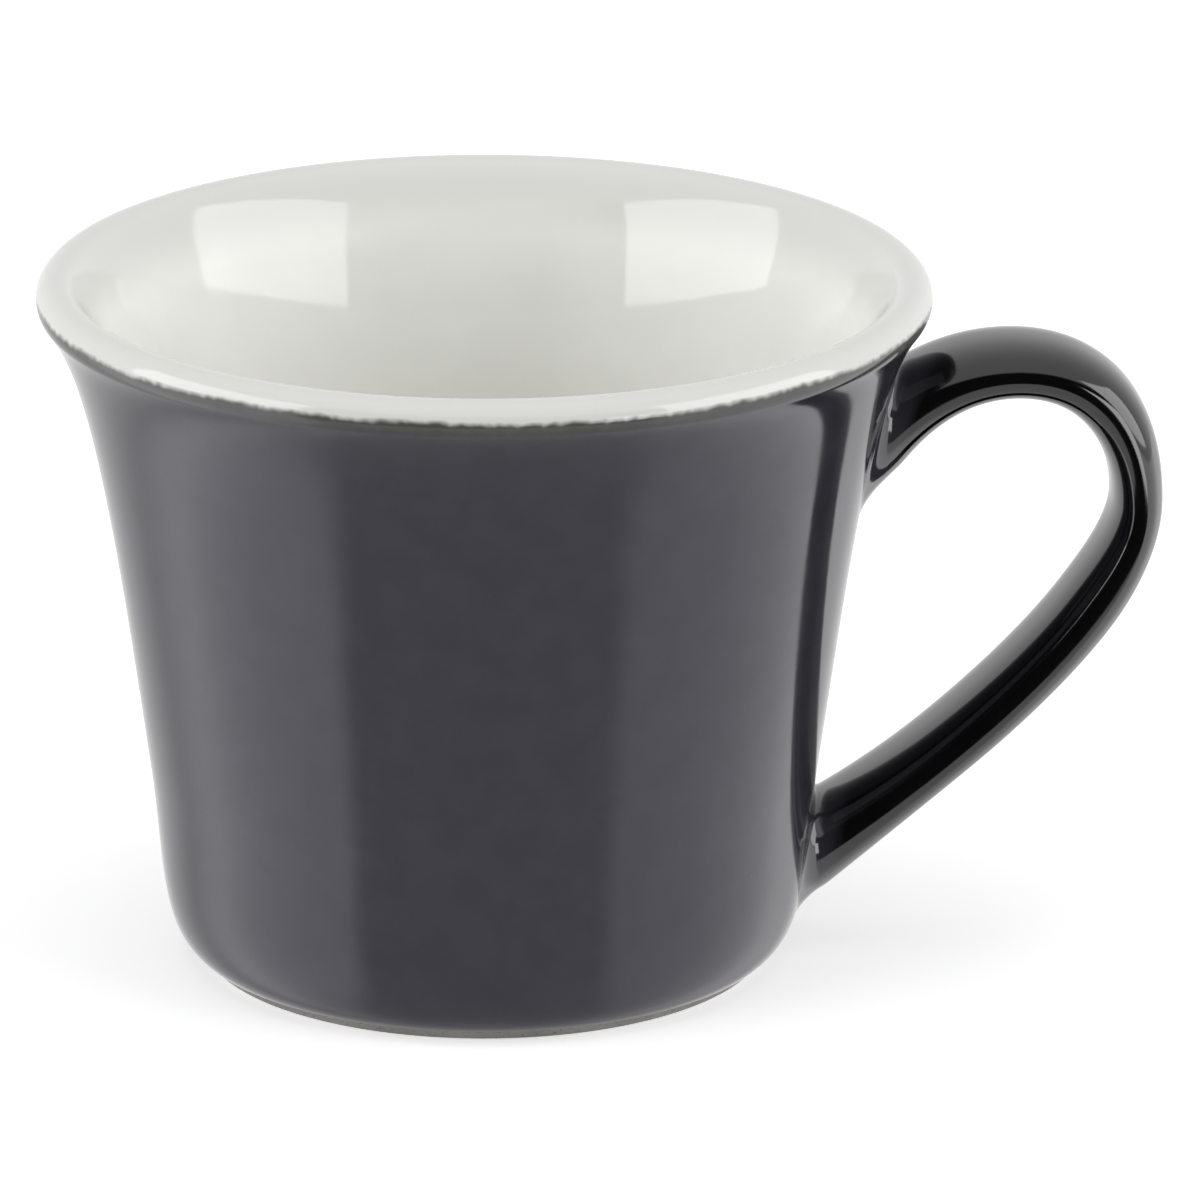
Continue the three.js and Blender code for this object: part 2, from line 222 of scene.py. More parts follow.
# Cards round the cup that show only in the gloss, by turn and by rise over the point looked at
CARD_DISTANCE = 0.5
CARD_STEPS = 32
DARK_TURN = math.radians(46)
DARK_RISES = (math.radians(-24), math.radians(44))
DARK_TOP = math.radians(27)  # where it fades out, straight in front
DARK_TILT = 0.15  # how much lower that is for each turn to the right
DARK_FADE = math.radians(8)
DARK_GLOW = 0.02
STRIP_TURNS = (math.radians(28), math.radians(47))
STRIP_RISES = (math.radians(-14), math.radians(9))
STRIP_GLOW = 4.8
STRIP_NEARER = 0.02  # than the other cards
PALE_TURN = math.radians(46)
PALE_RISES = (math.radians(-83), math.radians(-3))
PALE_LOW_FADE = math.radians(48)
PALE_END_FADE = math.radians(28)
PALE_NEAR_FADE = math.radians(3)
SWING_RISE = math.radians(-27)  # from there down, a pale card's inner edge swings outwards
SWING_SPAN = math.radians(39)
SWING = math.radians(36)
SWING_POWER = 2.5
SWING_FADE = math.radians(34)  # how much softer that edge gets over the span
LEFT_END = math.radians(130)
LEFT_GLOW = 2.35
RIGHT_END = math.radians(150)
RIGHT_GLOW = 1.8


class EspressoCupSizes(bpy.types.PropertyGroup):
    """Sizes of the cup that a user would change."""

    rim_radius: bpy.props.FloatProperty(
        name="Rim Radius", description="Widest circle of the lip",
        default=RIM_RADIUS, unit="LENGTH", precision=5,
    )
    cup_height: bpy.props.FloatProperty(
        name="Height", description="Top of the lip above the table",
        default=CUP_HEIGHT, unit="LENGTH", precision=5,
    )
    lip_round: bpy.props.FloatProperty(
        name="Lip Round", description="Radius of the rounded lip",
        default=1.65 * MM, unit="LENGTH", precision=5,
    )
    waist_radius: bpy.props.FloatProperty(
        name="Waist Radius", description="Outside radius where the curve of the heel runs out",
        default=26.4 * MM, unit="LENGTH", precision=5,
    )
    waist_height: bpy.props.FloatProperty(
        name="Waist Height", description="Height of the waist above the table",
        default=15.5 * MM, unit="LENGTH", precision=5,
    )
    heel_radius: bpy.props.FloatProperty(
        name="Heel Radius", description="Lower edge of the outer glaze",
        default=23.2 * MM, unit="LENGTH", precision=5,
    )
    heel_height: bpy.props.FloatProperty(
        name="Heel Height", description="Height of the outer glaze's lower edge above the table",
        default=OUTER_LOW.z, unit="LENGTH", precision=5,
    )
    wall: bpy.props.FloatProperty(
        name="Wall", description="Thickness of the wall at the waist",
        default=3.5 * MM, unit="LENGTH", precision=5,
    )
    floor: bpy.props.FloatProperty(
        name="Floor", description="Thickness of the floor above the recess",
        default=4 * MM, unit="LENGTH", precision=5,
    )
    foot_radius: bpy.props.FloatProperty(
        name="Foot Radius", description="Outside radius of the foot ring",
        default=22.5 * MM, unit="LENGTH", precision=5,
    )
    foot_width: bpy.props.FloatProperty(
        name="Foot Width", description="Width of the foot ring",
        default=3 * MM, unit="LENGTH", precision=5,
    )
    recess_depth: bpy.props.FloatProperty(
        name="Recess Depth", description="Depth of the recess inside the foot ring",
        default=1.4 * MM, unit="LENGTH", precision=5,
    )
    glaze: bpy.props.FloatProperty(
        name="Glaze", description="Thickness of a coat of glaze",
        default=0.35 * MM, unit="LENGTH", precision=5,
    )


class EspressoCupEar(bpy.types.PropertyGroup):
    """Sizes of the ear handle that a user would change."""

    width: bpy.props.FloatProperty(
        name="Width", description="Across the plane of the ear",
        default=10.4 * MM, unit="LENGTH", precision=5,
    )
    thick: bpy.props.FloatProperty(
        name="Thickness", description="In the plane of the ear, along its arms",
        default=4.7 * MM, unit="LENGTH", precision=5,
    )
    thin: bpy.props.FloatProperty(
        name="Thickness at the Bend", description="In the plane of the ear, round the outer bend",
        default=4 * MM, unit="LENGTH", precision=5,
    )
    root_thick: bpy.props.FloatProperty(
        name="Thickness at the Roots", description="In the plane of the ear, where it meets the wall",
        default=6.4 * MM, unit="LENGTH", precision=5,
    )
    fillet: bpy.props.FloatProperty(
        name="Fillet", description="Radius of the fillet round each root",
        default=1.3 * MM, unit="LENGTH", precision=5,
    )


class EspressoCupColours(bpy.types.PropertyGroup):
    """Colours of the glazes and of the clay."""

    liner: bpy.props.FloatVectorProperty(
        name="Liner Glaze", description="White inside and over the lip",
        default=(0.885, 0.885, 0.85), subtype="COLOR", size=3, min=0, max=1,
    )
    outer: bpy.props.FloatVectorProperty(
        name="Outer Glaze", description="Slate grey on the wall",
        default=(0.030, 0.0285, 0.036), subtype="COLOR", size=3, min=0, max=1,
    )
    ear: bpy.props.FloatVectorProperty(
        name="Handle Glaze", description="Grey-black on the handle",
        default=(0.0022, 0.0022, 0.0026), subtype="COLOR", size=3, min=0, max=1,
    )
    line: bpy.props.FloatVectorProperty(
        name="Glaze Line", description="Olive edge where the grey thins out over the white",
        default=(0.086, 0.087, 0.073), subtype="COLOR", size=3, min=0, max=1,
    )
    clay: bpy.props.FloatVectorProperty(
        name="Clay", description="Bare stoneware of the foot ring",
        default=(0.36, 0.345, 0.33), subtype="COLOR", size=3, min=0, max=1,
    )


def leaning(lean):
    """Unit vector in a profile that leans outwards from the upright."""
    return Vector((math.sin(lean), math.cos(lean)))


def bezier(start, leave, arrive, end):
    """Span of a curve, from a share of it to a point and a direction."""
    def span(share):
        left = 1 - share
        point = start * left**3 + end * share**3
        point += leave * 3 * share * left**2 + arrive * 3 * share**2 * left
        along = (leave - start) * left**2 + (end - arrive) * share**2
        along += (arrive - leave) * 2 * share * left
        return point, along.normalized()
    return span


def line(start, end):
    """Straight span."""
    def span(share):
        return start.lerp(end, share), (end - start).normalized()
    return span


def arc(centre, radius, first, last):
    """Round span of a profile, between two angles."""
    def span(share):
        angle = first + (last - first) * share
        out = Vector((math.cos(angle), math.sin(angle)))
        along = Vector((-out.y, out.x)) * math.copysign(1, last - first)
        return centre + out * radius, along
    return span


def traced(spans, depth=0):
    """Points along spans that join end to end, sunk to a depth on the left of the direction of travel."""
    points = []
    for number, (span, steps) in enumerate(spans):
        for step in range(0 if number == 0 else 1, steps + 1):
            point, along = span(step / steps)
            points.append(point + Vector((-along.y, along.x)) * depth)
    return points


def wander(angle, lobes, seed):
    """Smooth wander round the cup between -1 and 1."""
    return noise.noise(Vector((lobes * math.cos(angle), lobes * math.sin(angle), seed)))


def glaze_line(angle):
    """Angle on the lip's round at which the two glazes meet, at a place round the cup."""
    sway = LINE_SWAY * wander(angle, SWAY_LOBES, SWAY_SEED)
    ripple = LINE_RIPPLE * wander(angle, RIPPLE_LOBES, RIPPLE_SEED)
    return GLAZE_LINE + sway + ripple


class Shell:
    """Profiles of the cup's wall, from the sizes."""

    def __init__(self, sizes):
        self.sizes = sizes
        waist = Vector((sizes.waist_radius, sizes.waist_height))
        heel = Vector((sizes.heel_radius, sizes.heel_height))
        inner_waist = waist - Vector((sizes.wall, 0))
        rise = leaning(WAIST_LEAN)
        flare = leaning(LIP_LEAN) * FLARE_PULL
        self.lip_centre = Vector((sizes.rim_radius, sizes.cup_height)) - Vector((1, 1)) * sizes.lip_round
        outer_top = self.lip(-LIP_LEAN, -LIP_LEAN)(0)[0]
        inner_top = self.lip(math.pi - LIP_LEAN, math.pi - LIP_LEAN)(0)[0]
        floor_height = sizes.recess_depth + sizes.floor
        floor_edge = Vector((inner_waist.x - INNER_CORNER, floor_height))
        corner_rise = QUARTER_ROUND * (sizes.waist_height - floor_height)
        corner_out = Vector((QUARTER_ROUND * INNER_CORNER, 0))
        tuck = leaning(HEEL_LEAN) * HEEL_PULL
        heel_curve = bezier(heel, heel + tuck, waist - rise * HEEL_RUN_OUT, waist)
        wall_curve = bezier(waist, waist + rise * WAIST_PULL, outer_top - flare, outer_top)
        self.outside = [(heel_curve, HEEL_STEPS), (wall_curve, WALL_STEPS)]
        inner_curve = bezier(inner_top, inner_top - flare, inner_waist + rise * WAIST_PULL, inner_waist)
        corner = bezier(inner_waist, inner_waist - rise * corner_rise, floor_edge + corner_out, floor_edge)
        floor = line(floor_edge, Vector((0, floor_height)))
        self.inside = [(inner_curve, WALL_STEPS), (corner, CORNER_STEPS), (floor, FLOOR_STEPS)]
        clay = traced([*self.outside, (self.lip(-LIP_LEAN, 0), LIP_STEPS)], sizes.glaze)
        self.clay_heights = [point.y for point in clay]
        self.clay_radii = [point.x for point in clay]

    def lip(self, first, last):
        """Span over the lip between two angles."""
        return arc(self.lip_centre, self.sizes.lip_round, first, last)

    def outer_coat(self, angle, depth):
        """Outside from the heel up to the glaze line."""
        return traced([*self.outside, (self.lip(-LIP_LEAN, glaze_line(angle)), LIP_STEPS)], depth)

    def liner(self, angle, depth):
        """Inside from the glaze line over the lip and down to the axis."""
        return traced([(self.lip(glaze_line(angle), math.pi - LIP_LEAN), LIP_STEPS), *self.inside], depth)

    def recess(self, depth):
        """Recess from the axis along its ceiling and down inside the foot ring."""
        sizes = self.sizes
        edge = sizes.foot_radius - sizes.foot_width - RECESS_ROUND
        ceiling = line(Vector((0, sizes.recess_depth)), Vector((edge, sizes.recess_depth)))
        corner_centre = Vector((edge, sizes.recess_depth - RECESS_ROUND))
        return traced([
            (ceiling, FLOOR_STEPS),
            (arc(corner_centre, RECESS_ROUND, math.pi / 2, 0), CORNER_STEPS),
        ], depth)

    def clay(self):
        """Whole clay section from the middle of the recess round to the middle of the floor."""
        sizes = self.sizes
        recess = self.recess(sizes.glaze)
        foot = [
            Vector((recess[-1].x + FOOT_BEVEL, 0)),
            Vector((sizes.foot_radius - FOOT_BEVEL, 0)),
            Vector((sizes.foot_radius, FOOT_BEVEL)),
        ]
        whole_lip = self.lip(-LIP_LEAN, math.pi - LIP_LEAN)
        wall = traced([*self.outside, (whole_lip, 2 * LIP_STEPS), *self.inside], sizes.glaze)
        return [*recess, *foot, *wall]

    def clay_radius(self, height):
        """Radius of the clay wall's outside at a height."""
        after = min(max(bisect_left(self.clay_heights, height), 1), len(self.clay_heights) - 1)
        low, high = self.clay_heights[after - 1], self.clay_heights[after]
        share = min(max((height - low) / (high - low), 0), 1)
        return self.clay_radii[after - 1] * (1 - share) + self.clay_radii[after] * share


class Ear:
    """Surface of the ear handle, from the sizes; the cup's axis is at its origin."""

    def __init__(self, shell, ear):
        self.shell = shell
        self.ear = ear
        self.turns = [turn / EAR_TURNS * math.tau for turn in range(EAR_TURNS)]
        self.trace_path()

    def trace_path(self):
        """Path inside the wall, up to the crest, round the bend and down to the lower seat, by length."""
        seat_height = self.shell.sizes.cup_height - UPPER_SEAT_DROP
        glaze = self.shell.sizes.glaze
        upper = Vector((self.shell.clay_radius(seat_height) + glaze, seat_height))
        lower = Vector((self.shell.clay_radius(LOWER_SEAT_HEIGHT) + glaze, LOWER_SEAT_HEIGHT))
        crest = upper + Vector((CREST_OUT, CREST_RISE))
        bend = upper + Vector((BEND_OUT, -BEND_DROP))
        upper_slope = leaning(math.pi / 2 - UPPER_SEAT_ANGLE)
        lower_slope = leaning(math.pi / 2 - LOWER_SEAT_ANGLE)
        out = Vector((1, 0))
        up = Vector((0, 1))
        spans = [
            line(upper - upper_slope * SEAT_RUN, upper),
            bezier(upper, upper + upper_slope * UPPER_SEAT_PULL, crest - out * CREST_PULL_IN, crest),
            bezier(crest, crest + out * CREST_PULL_OUT, bend + up * BEND_PULL_UP, bend),
            bezier(bend, bend - up * BEND_PULL_DOWN, lower + lower_slope * LOWER_SEAT_PULL, lower),
            line(lower, lower - lower_slope * SEAT_RUN),
        ]
        self.places = []
        self.lengths = []
        for number, span in enumerate(spans):
            for step in range(0 if number == 0 else 1, PATH_STEPS + 1):
                place = span(step / PATH_STEPS)
                moved = (place[0] - self.places[-1][0]).length if self.places else 0
                self.places.append(place)
                self.lengths.append(self.lengths[-1] + moved if self.lengths else 0)
        self.bend_length = self.lengths[BEND_SPAN * PATH_STEPS]

    def place(self, length):
        """Point and direction of the path at a length along it."""
        after = min(max(bisect_left(self.lengths, length), 1), len(self.lengths) - 1)
        low, high = self.lengths[after - 1], self.lengths[after]
        share = (length - low) / (high - low)
        point, along = (a.lerp(b, share) for a, b in zip(self.places[after - 1], self.places[after]))
        return point, along.normalized()

    def thickness(self, length):
        """Thickness of the finished handle at a length along the path."""
        ear = self.ear
        from_seat = min(length, self.lengths[-1] - length) - SEAT_RUN
        thinning = 0.5 + 0.5 * math.cos(math.pi * min(abs(length - self.bend_length) / THIN_SPAN, 1))
        rooting = 1 - min(max(from_seat / ROOT_SPAN, 0), 1)
        return ear.thick - thinning * (ear.thick - ear.thin) + rooting**2 * (ear.root_thick - ear.thick)

    def point(self, length, turn, inset):
        """Point on the surface, lowered by an inset."""
        def rounded(value):
            return math.copysign(abs(value) ** (2 / SECTION_POWER), value)

        middle, along = self.place(length)
        out = (self.thickness(length) / 2 - inset) * rounded(math.cos(turn))
        across = (self.ear.width / 2 - inset) * rounded(math.sin(turn))
        return Vector((middle.x - along.y * out, across, middle.y + along.x * out))

    def crossing(self, end, turn, inset, height):
        """Length along the path at which a line of the surface crosses a height over the clay wall."""
        inside = 0 if end == "upper" else self.lengths[-1]
        outside = self.bend_length
        for _ in range(HALVINGS):
            middle = (inside + outside) / 2
            point = self.point(middle, turn, inset)
            if math.hypot(point.x, point.y) - self.shell.clay_radius(point.z) > height:
                outside = middle
            else:
                inside = middle
        return outside

    def seat_ring(self, end, inset, height, spread):
        """Outline of the handle's end at a height over the clay, spread outwards along the wall."""
        flat = []
        for turn in self.turns:
            point = self.point(self.crossing(end, turn, inset, height), turn, inset)
            radius = self.shell.clay_radius(point.z) + height
            flat.append(Vector((radius * math.atan2(point.y, point.x), point.z)))
        centre = sum(flat, Vector((0, 0))) / len(flat)
        ring = []
        for index, point in enumerate(flat):
            side = flat[(index + 1) % len(flat)] - flat[index - 1]
            normal = Vector((side.y, -side.x)).normalized()
            if normal.dot(point - centre) < 0:
                normal.negate()
            ring.append(self.on_wall(point + normal * spread, height))
        return ring

    def on_wall(self, flat, height):
        """Point at a height over the clay, from its distance round the wall and height above the table."""
        radius = self.shell.clay_radius(flat.y) + height
        angle = flat.x / radius
        return Vector((radius * math.cos(angle), radius * math.sin(angle), flat.y))

    def fillet_rings(self, end, inset, level):
        """Rings of one end's fillet, in order along the path, from a level over the clay."""
        rings = []
        for step in range(FILLET_STEPS + 1):
            lean = step / FILLET_STEPS * math.pi / 2
            rise = self.ear.fillet * (1 - math.cos(lean))
            spread = self.ear.fillet * (1 - math.sin(lean))
            rings.append(self.seat_ring(end, inset, level + rise, spread))
        return rings if end == "upper" else rings[::-1]

    def arm_rings(self, inset, height):
        """Rings of the handle between its ends, each mitred to the wall at a height over the clay."""
        ends = [
            [self.crossing(end, turn, inset, height) for end in ("upper", "lower")]
            for turn in self.turns
        ]
        return [
            [
                self.point(first + (last - first) * step / EAR_STEPS, turn, inset)
                for turn, (first, last) in zip(self.turns, ends)
            ]
            for step in range(EAR_STEPS + 1)
        ]


def add_piece(name, points, faces, values=None):
    """Smooth mesh object at the cup's axis, with named values on its points, cleaned of doubled points."""
    mesh = bpy.data.meshes.new(name)
    mesh.from_pydata([Vector((AXIS_X, 0, 0)) + point for point in points], [], faces)
    for label, numbers in (values or {}).items():
        mesh.attributes.new(label, "FLOAT", "POINT").data.foreach_set("value", numbers)
    work = bmesh.new()
    work.from_mesh(mesh)
    bmesh.ops.remove_doubles(work, verts=work.verts, dist=WELD_GAP)
    bmesh.ops.recalc_face_normals(work, faces=work.faces)
    work.to_mesh(mesh)
    work.free()
    mesh.shade_smooth()
    mesh.set_sharp_from_angle(angle=SHARP_ANGLE)
    piece = bpy.data.objects.new(name, mesh)
    bpy.context.collection.objects.link(piece)
    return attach(piece, BODY)


def turned(name, section, closed, values=None):
    """Piece whose section, a function of the angle, is carried round the cup's axis."""
    points = []
    numbers = {label: [] for label in values or {}}
    for step in range(CUP_STEPS):
        angle = step / CUP_STEPS * math.tau
        profile = section(angle)
        for point in profile:
            radius = point.x + wall_wander(angle, point) if point.x > 0 else 0
            points.append(Vector((radius * math.cos(angle), radius * math.sin(angle), point.y)))
        for label, measure in (values or {}).items():
            numbers[label].extend(measure(angle, profile))
    count = len(profile)
    faces = []
    for step in range(CUP_STEPS):
        here = step * count
        there = (step + 1) % CUP_STEPS * count
        for index in range(count if closed else count - 1):
            beside = (index + 1) % count
            faces.append((here + index, there + index, there + beside, here + beside))
    return add_piece(name, points, faces, numbers)


def wall_wander(angle, point):
    """Unevenness of the wall, which dies out at the lip, at the foot and beside the handle."""
    share = min(max(point.y / WANDER_TOP, 0), 1)
    still = math.sin(math.pi * share) * math.sin(angle / 2) ** 2
    lobes = RIM_RADIUS / WANDER_SIZE
    place = Vector((lobes * math.cos(angle), lobes * math.sin(angle), point.y / WANDER_SIZE))
    return WALL_WANDER * still * noise.noise(place)


def ring_faces(first, second, count):
    """Quads between two rings of points, each named by the number of its first point."""
    return [
        (first + index, second + index, second + (index + 1) % count, first + (index + 1) % count)
        for index in range(count)
    ]


class Finish:
    """Material in the making: a principled shader and the nodes that feed it."""

    def __init__(self, name, **constants):
        self.material = bpy.data.materials.new(name)
        self.material.use_nodes = True
        self.tree = self.material.node_tree
        self.shader = self.tree.nodes["Principled BSDF"]
        for socket, value in constants.items():
            self.shader.inputs[socket.replace("_", " ")].default_value = value
        self.place = self.add("ShaderNodeTexCoord").outputs["Object"]

    def add(self, kind, **settings):
        """New node with its settings."""
        node = self.tree.nodes.new(kind)
        for name, value in settings.items():
            setattr(node, name, value)
        return node

    def feed(self, node, socket, source):
        """Links an output to an input, or sets the input to a plain value."""
        target = node.inputs[socket]
        if isinstance(source, bpy.types.NodeSocket):
            self.tree.links.new(source, target)
        else:
            target.default_value = source

    def grain(self, size, detail=2):
        """Cloudy texture with spots of about a size."""
        node = self.add("ShaderNodeTexNoise")
        self.feed(node, "Vector", self.place)
        self.feed(node, "Scale", 1 / size)
        self.feed(node, "Detail", detail)
        return node.outputs["Fac"]

    def cloud(self, size, detail=2, low=0, high=1):
        """Cloudy texture whose usual values are carried to low to high."""
        return self.ranged(self.grain(size, detail), *CLOUD_VALUES, low, high)

    def pits(self, size):
        """Distance from scattered points about a size apart."""
        node = self.add("ShaderNodeTexVoronoi")
        self.feed(node, "Vector", self.place)
        self.feed(node, "Scale", 1 / size)
        return node.outputs["Distance"]

    def measure(self, label):
        """Value that the mesh carries."""
        return self.add("ShaderNodeAttribute", attribute_name=label).outputs["Fac"]

    def ranged(self, source, first, last, low=0, high=1):
        """Source from first to last, carried smoothly to low to high."""
        node = self.add("ShaderNodeMapRange", interpolation_type="SMOOTHSTEP")
        sockets = ("Value", "From Min", "From Max", "To Min", "To Max")
        for socket, value in zip(sockets, (source, first, last, low, high)):
            self.feed(node, socket, value)
        return node.outputs["Result"]

    def sum(self, first, second, factor=1):
        """First plus second times a factor."""
        node = self.add("ShaderNodeMath", operation="MULTIPLY_ADD")
        for socket, value in enumerate((second, factor, first)):
            self.feed(node, socket, value)
        return node.outputs["Value"]

    def mixed(self, share, first, second):
        """Colour between two colours."""
        node = self.add("ShaderNodeMix", data_type="RGBA")
        for socket, value in (("Factor", share), ("A", first), ("B", second)):
            target = next(one for one in node.inputs if one.name == socket and one.enabled)
            if isinstance(value, bpy.types.NodeSocket):
                self.tree.links.new(value, target)
            else:
                target.default_value = value
        return next(one for one in node.outputs if one.enabled)

    def colour(self, source):
        """Sets the colour."""
        self.feed(self.shader, "Base Color", source)

    def roughness(self, source):
        """Sets the roughness."""
        self.feed(self.shader, "Roughness", source)

    def relief(self, *layers):
        """Bumps over the surface, each a height texture and its depth."""
        normal = None
        for height, depth in layers:
            node = self.add("ShaderNodeBump")
            self.feed(node, "Height", height)
            self.feed(node, "Distance", depth)
            self.feed(node, "Strength", 1.0)
            if normal is not None:
                self.feed(node, "Normal", normal)
            normal = node.outputs["Normal"]
        self.feed(self.shader, "Normal", normal)


def opaque(colour, factor=1):
    """Colour with full alpha, lightened or darkened by a factor."""
    return (*(min(part * factor, 1) for part in colour), 1)


def shaded(finish, cloud, colour, shades):
    """Colour that drifts between two shades of itself with a cloudy texture."""
    dark, light = shades
    return finish.mixed(cloud, opaque(colour, dark), opaque(colour, light))


def gloss(finish, ends):
    """Glaze surface: faint orange peel, a few pinholes and a gloss that varies."""
    finish.roughness(finish.cloud(GLOSS_CLOUD, 2, *ends))
    pinholes = finish.ranged(finish.pits(PINHOLE_GAP), 0, PINHOLE_WIDTH)
    finish.relief((finish.grain(PEEL_SIZE, 1), PEEL_DEPTH), (pinholes, PINHOLE_DEPTH))


def white_glaze(colours):
    """White gloss with a faint drift, and painted shade that makes it darker over the lip."""
    finish = Finish("white_glaze", IOR=WHITE_IOR)
    white = shaded(finish, finish.cloud(WHITE_CLOUD, 3), colours.liner, WHITE_SHADES)
    # painted shade: the white darkens towards the lip, where the light from above falls on it
    thin = finish.ranged(finish.measure("lip_shade_mask"), 0, 1)
    finish.colour(finish.mixed(thin, white, opaque(colours.liner, LIP_PAINTED_SHADE)))
    gloss(finish, WHITE_GLOSS)
    return finish.material


def grey_glaze(colours):
    """Slate gloss with a cool sheen that breaks to olive and to white along the glaze line."""
    finish = Finish("grey_glaze", IOR=SLATE_IOR, Specular_Tint=SLATE_SHEEN)
    slate = shaded(finish, finish.cloud(SLATE_CLOUD, 4), colours.outer, SLATE_SHADES)
    ragged = finish.sum(finish.measure("line_gap"), finish.grain(RAGGED_SIZE, 1), -RAGGED_DEPTH)
    olive = finish.mixed(finish.ranged(ragged, *OLIVE_BREAK), opaque(colours.line), slate)
    # the white at the glaze line carries the lip's painted shade as well
    white = opaque(colours.liner, LIP_PAINTED_SHADE)
    finish.colour(finish.mixed(finish.ranged(ragged, *WHITE_BREAK), white, olive))
    gloss(finish, SLATE_GLOSS)
    return finish.material


def ear_glaze(colours):
    """Grey-black gloss that goes over to the wall's slate at the roots."""
    finish = Finish("ear_glaze", IOR=EAR_IOR)
    black = shaded(finish, finish.cloud(SLATE_CLOUD, 4), colours.ear, EAR_SHADES)
    finish.colour(finish.mixed(finish.measure("root"), black, opaque(colours.outer)))
    gloss(finish, EAR_GLOSS)
    return finish.material


def bare_clay(name, colour):
    """Gritty unglazed stoneware."""
    finish = Finish(name, IOR=CLAY_IOR)
    body = shaded(finish, finish.cloud(CLAY_CLOUD, 4), colour, CLAY_SHADES)
    grit = finish.ranged(finish.grain(GRIT_SIZE), *GRIT_VALUES)
    finish.colour(finish.mixed(grit, body, opaque(colour, GRIT_SHADE)))
    finish.roughness(finish.cloud(CLAY_PATCH, 2, *CLAY_ROUGHNESS))
    finish.relief((finish.grain(CLAY_GRAIN, 3), CLAY_GRAIN_DEPTH))
    return finish.material


class EspressoCupOperator:
    """What the operators share."""

    bl_options = {"REGISTER", "UNDO"}

    @staticmethod
    def shell(context):
        """Profiles of the wall, from the sizes in the sidebar."""
        return Shell(context.scene.espresso_cup_sizes)


class ESPRESSO_CUP_OT_clay_body(EspressoCupOperator, bpy.types.Operator):
    """Add the clay cup with its bare foot ring"""

    bl_idname = "espresso_cup.clay_body"
    bl_label = "Clay Body"

    def execute(self, context):
        section = self.shell(context).clay()
        piece = turned("clay_body", lambda angle: section, closed=False)
        piece.data.materials.append(bare_clay("bare_clay", context.scene.espresso_cup_colours.clay))
        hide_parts("cup_body")
        return {"FINISHED"}


class ESPRESSO_CUP_OT_liner_coat(EspressoCupOperator, bpy.types.Operator):
    """Add the white glaze inside and over the lip"""

    bl_idname = "espresso_cup.liner_coat"
    bl_label = "Liner Coat"

    def execute(self, context):
        shell = self.shell(context)
        glaze = shell.sizes.glaze

        # how strongly the lip's painted shade lies on each point, falling off away from the lip's round
        def lip_shade_mask(angle, profile):
            gaps = [(point - shell.lip_centre).length - shell.sizes.lip_round for point in profile]
            return [1 - min(max(gap / LIP_SPAN, 0), 1) for gap in gaps]

        piece = turned(
            "liner_coat",
            lambda angle: [*shell.liner(angle, 0), *reversed(shell.liner(angle, glaze))],
            closed=True,
            values={"lip_shade_mask": lip_shade_mask},
        )
        piece.data.materials.append(white_glaze(context.scene.espresso_cup_colours))
        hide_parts("liner_glaze")
        return {"FINISHED"}


class ESPRESSO_CUP_OT_outer_coat(EspressoCupOperator, bpy.types.Operator):
    """Add the slate glaze outside, from the heel up to the glaze line"""

    bl_idname = "espresso_cup.outer_coat"
    bl_label = "Outer Coat"

    def execute(self, context):
        shell = self.shell(context)
        glaze = shell.sizes.glaze

        def line_gap(angle, profile):
            top = shell.lip(glaze_line(angle), glaze_line(angle))(0)[0]
            return [(point - top).length for point in profile]

        piece = turned(
            "outer_coat",
            lambda angle: [*shell.outer_coat(angle, 0), *reversed(shell.outer_coat(angle, glaze))],
            closed=True,
            values={"line_gap": line_gap},
        )
        piece.data.materials.append(grey_glaze(context.scene.espresso_cup_colours))
        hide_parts("outer_glaze")
        return {"FINISHED"}


class ESPRESSO_CUP_OT_base_coat(EspressoCupOperator, bpy.types.Operator):
    """Add the glaze in the recess under the cup"""

    bl_idname = "espresso_cup.base_coat"
    bl_label = "Base Coat"

    def execute(self, context):
        shell = self.shell(context)
        section = [*shell.recess(0), *reversed(shell.recess(shell.sizes.glaze))]
        piece = turned("base_coat", lambda angle: section, closed=True)
        piece.data.materials.append(white_glaze(context.scene.espresso_cup_colours))
        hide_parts("base_glaze")
        return {"FINISHED"}


class ESPRESSO_CUP_OT_ear_coat(EspressoCupOperator, bpy.types.Operator):
    """Add the glaze over the handle and its joints, and finish the clay and slip under it"""

    bl_idname = "espresso_cup.ear_coat"
    bl_label = "Handle Coat"

    def execute(self, context):
        scene = context.scene
        shell = self.shell(context)
        ear = Ear(shell, scene.espresso_cup_ear)
        glaze = shell.sizes.glaze
        arm_start = ear.ear.fillet + 2 * SLIP_GAP
        inner = [
            *ear.fillet_rings("upper", glaze, SLIP_GAP),
            *ear.arm_rings(glaze, arm_start),
            *ear.fillet_rings("lower", glaze, SLIP_GAP),
        ]
        outer = [
            *ear.fillet_rings("upper", 0, glaze - FOOT_SINK),
            *ear.arm_rings(0, arm_start + glaze),
            *ear.fillet_rings("lower", 0, glaze - FOOT_SINK),
        ]
        loop = [*outer, *reversed(inner)]
        points = [point for ring in loop for point in ring]
        faces = []
        for number in range(len(loop)):
            faces += ring_faces(number * EAR_TURNS, (number + 1) % len(loop) * EAR_TURNS, EAR_TURNS)
        root = []
        for number in range(len(loop)):
            past_fillet = min(number, abs(len(outer) - 1 - number)) - FILLET_STEPS
            root += [min(max(1 - past_fillet / ROOT_STEPS, 0), 1)] * EAR_TURNS
        piece = add_piece("ear_coat", points, faces, {"root": root})
        piece.data.materials.append(ear_glaze(scene.espresso_cup_colours))
        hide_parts("handle_glaze")
        clay = bare_clay("ear_clay", scene.espresso_cup_colours.clay)
        for node in ("handle", "upper_slip_joint", "lower_slip_joint"):
            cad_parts[node].material_slots[0].material = clay
        return {"FINISHED"}


